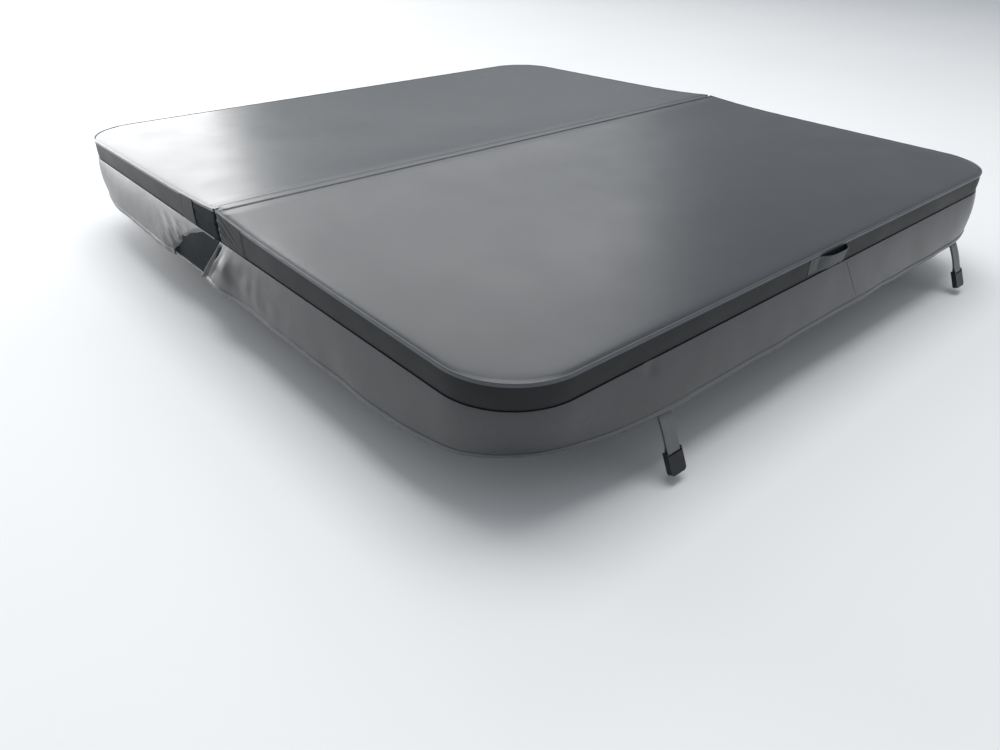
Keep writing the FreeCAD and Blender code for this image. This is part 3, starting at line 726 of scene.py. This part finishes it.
def corner_tuck(path):
    """How far the hem is drawn in round each corner, where the cabinet is rounder."""
    corner = path.length / 2 - (HALF_LENGTH - CORNER - path.x[0]) - CORNER * math.pi / 4
    left = 62 * MM * hill(path.run, -corner + 0.03, 0.175)
    right = 44 * MM * hill(path.run, corner, 0.125)
    return (left + right)[:, None]


def front_folds(path, height, depth):
    """Folds and dents of the front skirt towards its free end, and a crease at one corner."""
    run = path.run[:, None]
    station = path.x[:, None]
    from_end = station - path.x[0]
    at_fold = 1 - fade(station, 0.0, 150 * MM)
    flare = 12 * MM * at_fold**1.5 * depth**1.1
    curl = 7 * MM * (1 - fade(from_end, 0, 9 * MM)) ** 2
    groove = 8 * MM * hill(from_end, 19 * MM, 8 * MM) * fade(depth, 0.02, 0.2)
    lens = hill(from_end, 46 * MM - 12 * MM * depth, 8 * MM) * hill(depth, 0.62, 0.3) * 6 * MM
    crest = hill(from_end, 76 * MM, 26 * MM) * fade(depth, 0.1, 0.5) * 6 * MM
    dents = swell(run, height, 0.045, 2.0) * 3.6 * MM
    dents = dents * (1 - fade(station, 0.15, 0.42)) * hill(depth, 0.5, 0.32)
    crease = hill(run + 0.637 + height * 0.3, 0.0, 14 * MM) * hill(depth, 0.12, 0.14)
    crease = crease * 3.0 * MM * fade(station, 1.06, 1.064)
    return flare - curl - groove - lens + crest + dents - crease


def rear_folds(path, height, depth):
    """Slanted bulges of the rear skirt beside the place where it is cut away."""
    station = path.x[:, None]
    bulges = np.sin((station * 0.8 - height * 1.1) * 95.0 + 0.7) * 2.6 * MM
    near_trim = hill(station, 0.27, 0.11) * fade(depth, 0.12, 0.5)
    return bulges * near_trim + 4 * MM * hill(station, 0.36, 0.10) * depth


def skirt_spread(half, path, height):
    """Spread of the skirt's outer face at a height."""
    depth = np.clip(-height / -HEM_BOTTOM, 0, 1)
    run = path.run[:, None]
    seed = 11.0 if half == "front" else 27.0
    hang = depth * (0.35 + 0.65 * depth)
    wide = np.sin(run * 17.0 + seed) + np.sin((run + height * 0.8) * 33.0 + seed) * 0.6
    slanted = swell(run + height * 0.9, height * 0.35, 0.085, seed + 0.5) * 2.4
    fine = swell(run - height * 0.6, height * 0.6, 0.060, seed + 5.5)
    waves = (wide + slanted * 0.8 + fine * 0.5) * MM * hang
    top_waves = swell(run, height * 0.5, 0.07, seed + 9.5) * 1.2 * MM * depth * (1 - depth) * 3
    spread = lean(height) + waves + top_waves - corner_tuck(path) * depth**1.6
    folds = front_folds if half == "front" else rear_folds
    return spread + folds(path, height, depth)


def trim_height(station):
    """Lower edge of the rear skirt where it is cut away over the tongue."""
    away = np.clip((station - TRIM_CENTRE) / TRIM_LENGTH, 0, 1)
    return np.minimum(HEM_BOTTOM + TRIM_HEIGHT * (1 - away**1.5), -5 * MM)


def skirt_heights(lowest):
    """Columns of heights from under the band down to the lowest edge, closest at the top."""
    share = np.linspace(0, 1, 30)[None, :]
    return np.minimum(lowest * share**1.5, -1.2 * MM)


def flap(half, path, height):
    """How far the front skirt's free end leans back past the fold, and how far it lifts."""
    if half == "rear":
        return 0.0, 0.0
    depth = np.clip(-height / -HEM_BOTTOM, 0, 1)
    at_end = 1 - fade(path.x[:, None], path.x[0], path.x[0] + 170 * MM)
    return (8 * MM - 88 * MM * depth**1.1) * at_end, 9 * MM * at_end * depth


def make_skirt(half, side):
    start = FRONT_SKIRT_START if half == "front" else REAR_SKIRT_START
    path = Outline(start)
    station = path.x[:, None]
    lowest = np.full_like(station, HEM_TOP - 4 * MM)
    if half == "rear":
        lowest = np.maximum(trim_height(station), lowest)
    height = skirt_heights(lowest)
    spread = skirt_spread(half, path, height)
    if half == "rear":
        above_cut = height - trim_height(station)
        cut_here = 1 - fade(station, REAR_HEM_START - 4 * MM, REAR_HEM_START + 6 * MM)
        curl = (1 - fade(above_cut, 0, 16 * MM)) ** 1.5 * cut_here
        spread = spread - np.minimum(5 * MM, spread * 0.25) * curl
    shift, lift = flap(half, path, height)
    spread[:, 0] = -9 * MM
    height[:, 0] = -1.0 * MM
    grid = path.swept(side, spread, height + lift, shift)
    made = shell(f"{half}_skirt_cloth", grid, VINYL, SKIRT, side > 0)
    finished(made, f"{half}_half", "skirt_vinyl", f"{half}_skirt")
    hem = make_hem(half, side)
    make_anchors(half, side, path)
    make_side_seam(half, side, path)


def make_hem(half, side):
    """Folded band along the skirt's lower edge, with its row of stitches."""
    start = FRONT_SKIRT_START if half == "front" else REAR_HEM_START
    path = Outline(start)
    share = np.linspace(0, 1, 9)[None, :]
    height = np.tile(HEM_TOP + (HEM_BOTTOM - HEM_TOP) * share, (len(path.x), 1))
    puff = np.sin(share * math.pi) ** 0.6 * 1.7 * MM + 0.3 * MM
    spread = skirt_spread(half, path, height) + puff
    shift, lift = flap(half, path, height)
    grid = path.swept(side, spread, height + lift, shift)
    hem = shell(f"{half}_hem", grid, 3.4 * MM, HEM, side > 0)
    finished(hem, f"{half}_half", "hem_vinyl", f"{half}_skirt_hem")
    row = stitch_parts(grid[:, 1] + path.outward(side) * 0.3 * MM, (0, 0, 1))
    sew(f"{half}_hem_stitches", [row], f"{half}_half")
    return hem


def outer_edge_spread(half, path, y, height):
    """Spread of the skirt along the outer edge, for y down the rows and heights across."""
    found = skirt_spread(half, path, np.tile(height, (len(path.x), 1)))
    straight = path.out_x > 0.999
    columns = [np.interp(y, path.y[straight], column[straight]) for column in found.T]
    return np.stack(columns, -1)


def make_side_seam(half, side, path):
    """Slanted seam where the skirt's two lengths of vinyl are joined."""
    height = np.linspace(-6 * MM, HEM_TOP - 2 * MM, 40)[None, :]
    across = np.linspace(-3.5 * MM, 3.5 * MM, 9)[:, None]
    place = 0.100 - height * 0.42 + height**2 * 1.1
    spread = outer_edge_spread(half, path, np.full(9, 0.12), height)
    ridge = 1.2 * MM * hill(across, 0, 1.8 * MM) - 0.4 * MM * fade(np.abs(across), 2 * MM, 3 * MM)
    x = (HALF_LENGTH + spread + 0.5 * MM + ridge) * side
    grid = grid_of(x, place + across, height)
    made = shell(f"{half}_side_seam", grid, 1.2 * MM, HEM, side > 0)
    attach(made, f"{half}_half")


def make_anchors(half, side, path):
    """Webbing tabs sewn inside the skirt, from which the straps hang."""
    height = np.linspace(-96 * MM, -131 * MM, 8)[None, :]
    for word, place in STRAP_PLACES.items():
        y = place + np.linspace(-STRAP_WIDTH / 2, STRAP_WIDTH / 2, 9)
        spread = np.minimum(outer_edge_spread(half, path, y, height) - 5 * MM, 20 * MM)
        hung = fade(-height, 108 * MM, 128 * MM)
        spread = spread * (1 - hung) + (PIVOT.x - HALF_LENGTH + 1 * MM) * hung
        x = (HALF_LENGTH + spread) * side
        grid = grid_of(x, y[:, None], height)
        made = shell(f"{half}_anchor_{word}", grid, 1.6 * MM, WEBBING, side > 0)
        finished(made, f"{half}_half", "webbing", f"{half}_strap_anchors")


def make_tongues():
    """Flaps that close the skirt behind the fold, in near-black vinyl that is painted shade."""
    low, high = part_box("rear_skirt_tongues")
    for word, end in ENDS.items():
        x = np.linspace(low.x, high.x, 80)[:, None]
        share = np.linspace(0, 1, 30)[None, :]
        height = -1.6 * MM + (low.z + 1.6 * MM) * share**1.3
        hem = hill(height, low.z + 9 * MM, 5 * MM) * 1.0 * MM
        billow = swell(x, height, 0.07, 8.0 + end) * 1.8 * MM * np.sin(share * 2.2)
        hung = high.y - HALF_WIDTH - 1.2 * MM + hem + billow
        spread = np.minimum(hung, lean(height) - 3.0 * MM)
        spread[:, 0] = -9 * MM
        y = (HALF_WIDTH + spread) * end
        grid = grid_of(x, y, height)
        made = shell(f"rear_tongue_{word}", grid, VINYL, PAINTED_SHADE_VINYL, end > 0)
        finished(made, "rear_half", "tongue_vinyl", "rear_skirt_tongues")
        edge = grid[:, -1] + np.array([0, end * 0.9 * MM, 0])
        turn = np.radians(np.arange(0, 360, 60))
        loops = edge[:, None, :] + grid_of(0.0, 1.5 * MM * np.cos(turn), 1.9 * MM * np.sin(turn))
        bead = piece(f"rear_tongue_bead_{word}", *tube_parts(loops), HEM)
        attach(bead, "rear_half")


# ---------------------------------------------------------------- fold: hinge, walls, bolster

def make_hinge():
    """One strip of vinyl sewn over the fold, with a row of stitches along each edge."""
    y = np.linspace(-HALF_WIDTH + 3 * MM, HALF_WIDTH - 3 * MM, 260)[:, None]
    x = np.linspace(-SEAM_STATION, SEAM_STATION, 25)[None, :]
    crown = 1.1 * MM - 0.5 * MM * hill(np.abs(x), 0, 5 * MM)
    crown = crown - 1.2 * MM * fade(np.abs(x), SEAM_STATION - 3 * MM, SEAM_STATION)
    ripple = swell(y, x, 0.06, 2.5) * 0.35 * MM
    at_end = fade(np.abs(y), HALF_WIDTH - 22 * MM, HALF_WIDTH - 3 * MM) * 4.5 * MM
    height = roof(0.0) - 1.0 * MM * np.abs(x) / SEAM_STATION + crown + ripple - at_end
    grid = grid_of(x, y, height)
    made = shell("hinge_strip", grid, 1.1 * MM, TOP, True)
    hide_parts("front_hinge_strip", "rear_hinge_strip")
    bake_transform(made)
    for half, side in HALVES.items():
        station = SEAM_STATION - 3.2 * MM
        level = roof(0.0) + 0.55 * MM
        reach = HALF_WIDTH - 8 * MM
        line = [(station * side, -reach, level), (station * side, reach, level)]
        seam = piece(f"{half}_hinge_stitches", *stitch_parts(line, (0, 0, 1)), THREAD)
        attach(seam, f"{half}_half")


def make_fold_wall(half, side):
    """Vinyl face at the fold, turned under the half as far as the zipper."""
    turn = np.radians(np.linspace(0, 90, 7))
    bend = 4 * MM
    top = roof(HALF_GAP) - 2.5 * MM
    up = np.linspace(top, bend, 13)
    along = np.linspace(HALF_GAP + bend, WRAP_STATION, 9)[1:]
    x = np.concatenate([np.full(len(up), HALF_GAP), HALF_GAP + bend * (1 - np.cos(turn[1:])), along])
    z = np.concatenate([up, bend * (1 - np.sin(turn[1:])), np.full(len(along), 0.0)])
    y = np.linspace(-HALF_WIDTH + 2 * MM, HALF_WIDTH - 2 * MM, 200)[:, None]
    slack = (swell(y, z[None, :] + x[None, :], 0.09, 6.0 + side) * 0.5 + 0.5) * 0.9 * MM
    into_x = np.where(np.arange(len(x)) < len(up), 1.0, 0.0)[None, :]
    grid_x = (x[None, :] + slack * into_x) * side
    grid_z = z[None, :] + slack * (1 - into_x) * 0.4 + 0.1 * MM
    grid = grid_of(grid_x, y, grid_z)
    made = shell(f"{half}_fold_cloth", grid, 1.2 * MM, BAND, side > 0)
    finished(made, f"{half}_half", "band_vinyl", f"{half}_fold_wall")


def make_bolster():
    """Soft bolster that shuts in the steam, sewn into the fold of the rear half."""
    low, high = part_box("steam_stop_gasket")
    turn = np.radians(np.linspace(0, 360, 29))[:-1][None, :]
    y = np.linspace(low.y + 2 * MM, high.y - 2 * MM, 150)[:, None]
    squareness = 0.35
    cosine, sine = np.cos(turn), np.sin(turn)
    across = np.sign(cosine) * np.abs(cosine) ** squareness
    up = np.sign(sine) * np.abs(sine) ** squareness
    end_round = np.sqrt(np.clip(1 - (np.abs(y) / high.y) ** 60, 0.02, 1))
    soft = 1 - 0.05 * (swell(y, turn, 0.2, 3.0) + 1)
    x = across * (high.x - 0.1 * MM) * soft * end_round
    z = (high.z + low.z) / 2 + up * (high.z - low.z) / 2 * end_round
    loops = grid_of(x, y, z)
    made = piece("fold_bolster", *tube_parts(loops, True), BAND)
    finished(made, "rear_half", "band_vinyl", "steam_stop_gasket")


def make_zipper(half, side):
    """Woven tape under the half, with the two rows of teeth of its closed coil."""
    low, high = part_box("front_zipper_tape")
    x = np.linspace(low.x, high.x, 13)[None, :]
    y = np.linspace(low.y, high.y, 160)[:, None]
    centre = (low.x + high.x) / 2
    height = 0.1 * MM - 0.5 * MM * hill(x, centre, 4 * MM) + swell(y, x, 0.05, 1.0) * 0.2 * MM
    grid = grid_of(x * side, y, height)
    tape = shell(f"{half}_zip_tape", grid, 1.0 * MM, ZIPPER, side > 0)
    finished(tape, f"{half}_half", "zipper_nylon", f"{half}_zipper_tape")
    parts = []
    pitch = 5 * MM
    for row in (-1, 1):
        places = np.arange(low.y + 4 * MM, high.y - 4 * MM, pitch) + row * pitch / 4
        for place in places:
            middle = Vector(((centre + row * 1.1 * MM) * side, place, -0.9 * MM))
            parts.append(block(middle, (3.6 * MM, 1.7 * MM, 1.1 * MM)))
    teeth = joined(f"{half}_zip_teeth", parts, ZIPPER)
    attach(teeth, f"{half}_half")


def block(middle, size):
    """An eight-sided nub: a box whose lower face is smaller."""
    corners = []
    for level, share in ((0.5, 1.0), (-0.5, 0.6)):
        for u, v in ((-0.5, -0.5), (0.5, -0.5), (0.5, 0.5), (-0.5, 0.5)):
            corner = Vector((u * size[0] * share, v * size[1] * share, level * size[2]))
            corners.append(middle + corner)
    faces = [[0, 1, 2, 3], [7, 6, 5, 4]]
    faces += [[4 + k, 4 + (k + 1) % 4, (k + 1) % 4, k] for k in range(4)]
    return np.array([tuple(corner) for corner in corners]), faces


# ---------------------------------------------------------------- handles

def make_handle(half, side):
    """Vinyl grip: a flap sewn at both ends, bowed out more at its top edge."""
    low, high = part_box("front_handle")
    reach = high.y
    y = np.linspace(-reach, reach, 97)[:, None]
    share = np.linspace(0, 1, 25)[None, :]
    crest, long_reach, short_reach = 22 * MM, 62 * MM, 57 * MM
    from_crest = np.where(y > crest, (y - crest) / short_reach, (crest - y) / long_reach)
    fullness = np.where(y > crest, 7.0, 2.2)
    bulge = 1 - np.clip(from_crest, 0, 1) ** fullness
    proud = 15.5 * MM + (7.5 * MM - 15.5 * MM) * share
    edge_fold = (hill(share, 0.06, 0.06) + hill(share, 0.94, 0.06)) * 0.7 * MM
    seam = hill(np.abs(y), reach - 14 * MM, 3 * MM) * 0.6 * MM
    ripples = swell(y, share * 0.03, 0.02, 5.0 + side) * 0.5 * MM
    out = 0.9 * MM + bulge * proud + edge_fold - seam + ripples
    dip = 3.5 * MM * bulge
    height = high.z - (high.z - low.z) * share - dip * (1 - share)
    x = (HALF_LENGTH + out) * side
    grid = grid_of(x, y, height)
    made = shell(f"{half}_grip", grid, 1.8 * MM, HANDLE, side > 0)
    finished(made, f"{half}_half", "handle_vinyl", f"{half}_handle")
    proud_grid = grid + np.array([side * 0.2 * MM, 0, 0])
    rows = [stitch_parts(proud_grid[:, column], (side, 0, 0)) for column in (3, 21)]
    rows += [stitch_parts(proud_grid[end], (side, 0, 0)) for end in (4, 10, 86, 92)]
    sew(f"{half}_grip_stitches", rows, f"{half}_half")


# ---------------------------------------------------------------- straps

def make_strap(half, side, word):
    """Doubled webbing: down the outside, round the buckle's bar and back up inside."""
    loop = 3.1 * MM
    turn = np.radians(np.linspace(0, 180, 15))
    down = np.linspace(0, BAR_DROP, 34)
    pinched = loop - (loop - 1.0 * MM) * (1 - fade(down, BAR_DROP - 18 * MM, BAR_DROP))
    pinched = pinched * (1 - 0.15 * (1 - fade(down, 0, 6 * MM)))
    bowed = 2.6 * MM * np.sin(down / BAR_DROP * math.pi)
    across = np.concatenate([pinched + bowed, loop * np.cos(turn[1:-1]), (-pinched + bowed)[::-1]])
    along = np.concatenate([down, BAR_DROP + loop * np.sin(turn[1:-1]), down[::-1]])
    width = np.linspace(-STRAP_WIDTH / 2, STRAP_WIDTH / 2, 21)[None, :]
    ridges = 0.35 * MM * (hill(np.abs(width), 11 * MM, 1.6 * MM) - 0.6 * hill(width, 0, 3 * MM))
    lean_cos, lean_sin = math.cos(STRAP_TILT), math.sin(STRAP_TILT)
    step_across, step_along = np.gradient(across), np.gradient(along)
    length = np.hypot(step_across, step_along)
    out_across, out_along = step_along / length, -step_across / length
    lifted_across = across[:, None] + out_across[:, None] * ridges
    lifted_along = along[:, None] + out_along[:, None] * ridges
    x = PIVOT.x + lifted_across * lean_cos + lifted_along * lean_sin
    z = PIVOT.z + lifted_across * lean_sin - lifted_along * lean_cos
    y = STRAP_PLACES[word] + width
    grid = grid_of(x * side, y, z)
    made = shell(f"{half}_webbing_{word}", grid, 1.5 * MM, WEBBING, side > 0)
    body = f"{half}_strap_{word}"
    finished(made, body, "webbing", f"{half}_strap_{word}")
    lift = np.array([side * lean_cos, 0, lean_sin]) * 0.3 * MM
    rows = [stitch_parts(grid[row, 1:-1] + lift, (side, 0, 0)) for row in (18, 20)]
    sew(f"{half}_webbing_stitches_{word}", rows, body)


# ---------------------------------------------------------------- camera, light and floor

# Viewpoint and lens: metres, radians, and millimetres on a 36 mm sensor.
CAMERA_PLACE = Vector((1.8122, -1.6667, 0.7399))
CAMERA_AZIMUTH = 0.84772
CAMERA_ELEVATION = 0.55829
CAMERA_ROLL = 0.010683
CAMERA_LENS = 27.774
FLOOR_LEVEL = CAD_BOX[0].z - 20 * MM


def make_camera():
    camera = bpy.data.objects.new("camera", bpy.data.cameras.new("camera"))
    camera.data.lens = CAMERA_LENS
    camera.data.sensor_width = 36
    level = math.cos(CAMERA_ELEVATION)
    turned = Vector((math.sin(CAMERA_AZIMUTH), -math.cos(CAMERA_AZIMUTH), 0))
    back = turned * level + Vector((0, 0, math.sin(CAMERA_ELEVATION)))
    right = Vector((0, 0, 1)).cross(back).normalized()
    up = back.cross(right)
    turned_right = right * math.cos(CAMERA_ROLL) + up * math.sin(CAMERA_ROLL)
    turned_up = up * math.cos(CAMERA_ROLL) - right * math.sin(CAMERA_ROLL)
    facing = Matrix((turned_right, turned_up, back)).transposed().to_4x4()
    camera.matrix_world = Matrix.Translation(CAMERA_PLACE) @ facing
    bpy.context.scene.collection.objects.link(camera)
    bpy.context.scene.camera = camera


WALLS = (0.86, 0.93, 1.0)
WALL_LEVEL = 0.45
# Azimuth from +X and elevation in degrees; distance, width and height in metres; brightness.
SOFTBOXES = {
    "window": (185, 14, 9.0, 7.0, 5.0, 4.0),
    "side": (145, 34, 9.0, 6.5, 4.5, 1.8),
    "strip": (212, 6, 3.4, 2.0, 1.2, 3.5),
    "fill": (20, 14, 9.0, 6.0, 3.0, 1.0),
    "overhead": (0, 90, 5.0, 4.0, 4.0, 4.0),
}
FLOOR_COLOUR = (0.80, 0.80, 0.80)


def make_studio():
    """Pale even walls all round, and large softboxes."""
    world = bpy.data.worlds.new("studio")
    bpy.context.scene.world = world
    world.use_nodes = True
    background = world.node_tree.nodes["Background"]
    background.inputs["Color"].default_value = (*WALLS, 1)
    background.inputs["Strength"].default_value = WALL_LEVEL
    for name, (azimuth, elevation, distance, width, height, brightness) in SOFTBOXES.items():
        turn, rise = math.radians(azimuth), math.radians(elevation)
        level = math.cos(rise)
        away = Vector((math.cos(turn) * level, math.sin(turn) * level, math.sin(rise)))
        light = bpy.data.lights.new(name, "AREA")
        light.shape = "RECTANGLE"
        light.size = width
        light.size_y = height
        light.energy = brightness * width * height * math.pi
        softbox = bpy.data.objects.new(name, light)
        softbox.location = away * distance
        softbox.rotation_euler = away.to_track_quat("Z", "Y").to_euler()
        softbox.visible_camera = False
        bpy.context.scene.collection.objects.link(softbox)


def make_floor():
    """Plain pale studio floor."""
    reach = 40.0
    corners = [(-reach, -reach), (reach, -reach), (reach, reach), (-reach, reach)]
    points = [(x, y, FLOOR_LEVEL) for x, y in corners]
    finish = Finish("studio_floor", Roughness=0.9, Specular_IOR_Level=0.1)
    low, high = [tuple(part + change for part in FLOOR_COLOUR) for change in (-0.01, 0.01)]
    finish.colour(finish.ramp(finish.noise(0.8, 2.0), low, high))
    piece("floor", points, [[0, 1, 2, 3]], finish.material)


# ---------------------------------------------------------------- the whole cover

make_camera()
make_studio()
make_floor()
bpy.context.scene.view_settings.view_transform = "Standard"

finish_cad_nodes()
for half, side in HALVES.items():
    make_top_panel(half, side)
    make_under_panel(half, side)
    make_side_band(half, side)
    make_piping(half, side)
    make_end_patches(half, side)
    make_skirt(half, side)
    make_fold_wall(half, side)
    make_zipper(half, side)
    make_handle(half, side)
    for word in STRAP_PLACES:
        make_strap(half, side, word)
make_tongues()
make_hinge()
make_bolster()
